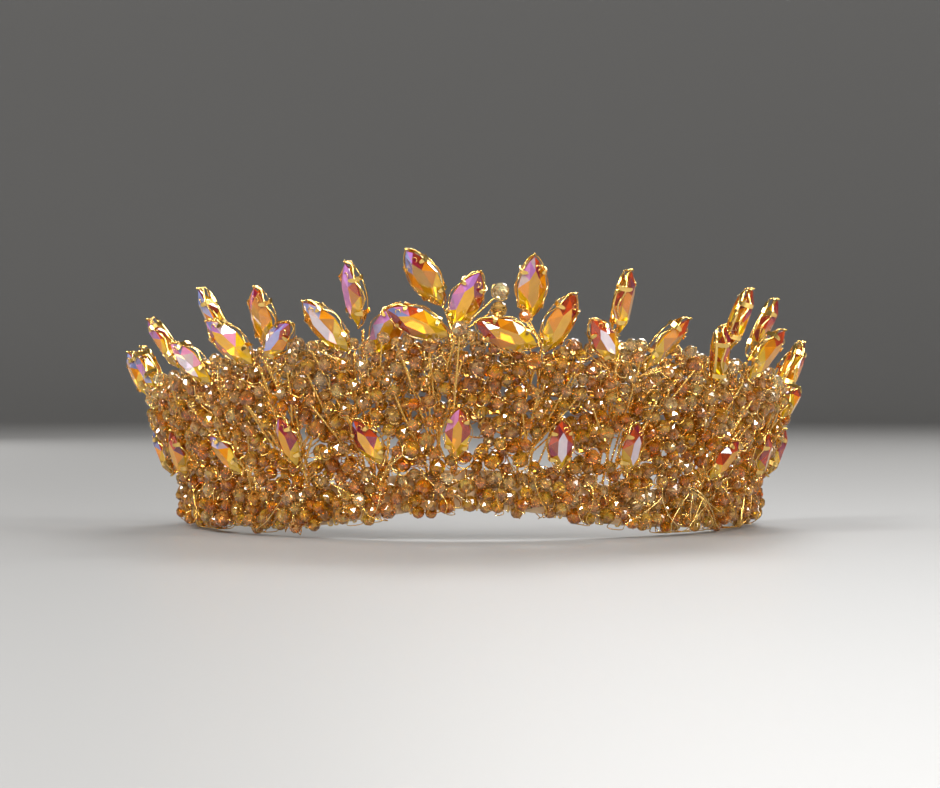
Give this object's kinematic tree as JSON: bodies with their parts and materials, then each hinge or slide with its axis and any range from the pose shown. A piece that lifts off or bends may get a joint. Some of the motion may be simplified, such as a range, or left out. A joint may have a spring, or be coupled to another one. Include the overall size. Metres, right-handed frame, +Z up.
{
  "type": "bridal crown",
  "caption": "Open-backed crown with a ribbon-covered band, a rope of wired glass beads, and a flared wall of beads on wire stems topped by marquise stones in claw settings.",
  "frame": {"origin": "on the upright axis of the head opening, in the plane that the crown stands on", "axes": "+Z up, -Y towards the front of the crown, +X to the right seen from the front"},
  "size_m": [0.1715, 0.1117, 0.0685],
  "materials": {
    "gold_band": "polished gold-tone steel",
    "satin_ribbon": "pale gold satin",
    "gold_wire": "bright gold-tone craft wire",
    "gold_setting": "bright gold-tone stamped claw settings",
    "amber_stone": "amber glass with an iridescent coating",
    "champagne_bead": "faceted honey-coloured glass"
  },
  "bodies": {
    "root": {"base_band": "gold_band", "end_loop_left": "gold_band", "end_loop_right": "gold_band", "middle_settings": "gold_setting", "middle_stones": "amber_stone", "middle_wires": "gold_wire", "ribbon_cover": "satin_ribbon", "rope_beads_1": "champagne_bead", "rope_beads_2": "champagne_bead", "rope_beads_3": "champagne_bead", "rope_beads_4": "champagne_bead", "rope_beads_5": "champagne_bead", "rope_beads_6": "champagne_bead", "rope_wire": "gold_wire", "spray_01_beads": "champagne_bead", "spray_01_settings": "gold_setting", "spray_01_stones": "amber_stone", "spray_01_wires": "gold_wire", "spray_02_beads": "champagne_bead", "spray_02_settings": "gold_setting", "spray_02_stones": "amber_stone", "spray_02_wires": "gold_wire", "spray_03_beads": "champagne_bead", "spray_03_settings": "gold_setting", "spray_03_stones": "amber_stone", "spray_03_wires": "gold_wire", "spray_04_beads": "champagne_bead", "spray_04_settings": "gold_setting", "spray_04_stones": "amber_stone", "spray_04_wires": "gold_wire", "spray_05_beads": "champagne_bead", "spray_05_settings": "gold_setting", "spray_05_stones": "amber_stone", "spray_05_wires": "gold_wire", "spray_06_beads": "champagne_bead", "spray_06_settings": "gold_setting", "spray_06_stones": "amber_stone", "spray_06_wires": "gold_wire", "spray_07_beads": "champagne_bead", "spray_07_settings": "gold_setting", "spray_07_stones": "amber_stone", "spray_07_wires": "gold_wire", "spray_08_beads": "champagne_bead", "spray_08_settings": "gold_setting", "spray_08_stones": "amber_stone", "spray_08_wires": "gold_wire", "spray_09_beads": "champagne_bead", "spray_09_settings": "gold_setting", "spray_09_stones": "amber_stone", "spray_09_wires": "gold_wire", "spray_10_beads": "champagne_bead", "spray_10_settings": "gold_setting", "spray_10_stones": "amber_stone", "spray_10_wires": "gold_wire", "spray_11_beads": "champagne_bead", "spray_11_settings": "gold_setting", "spray_11_stones": "amber_stone", "spray_11_wires": "gold_wire"}
  },
  "joints": []
}
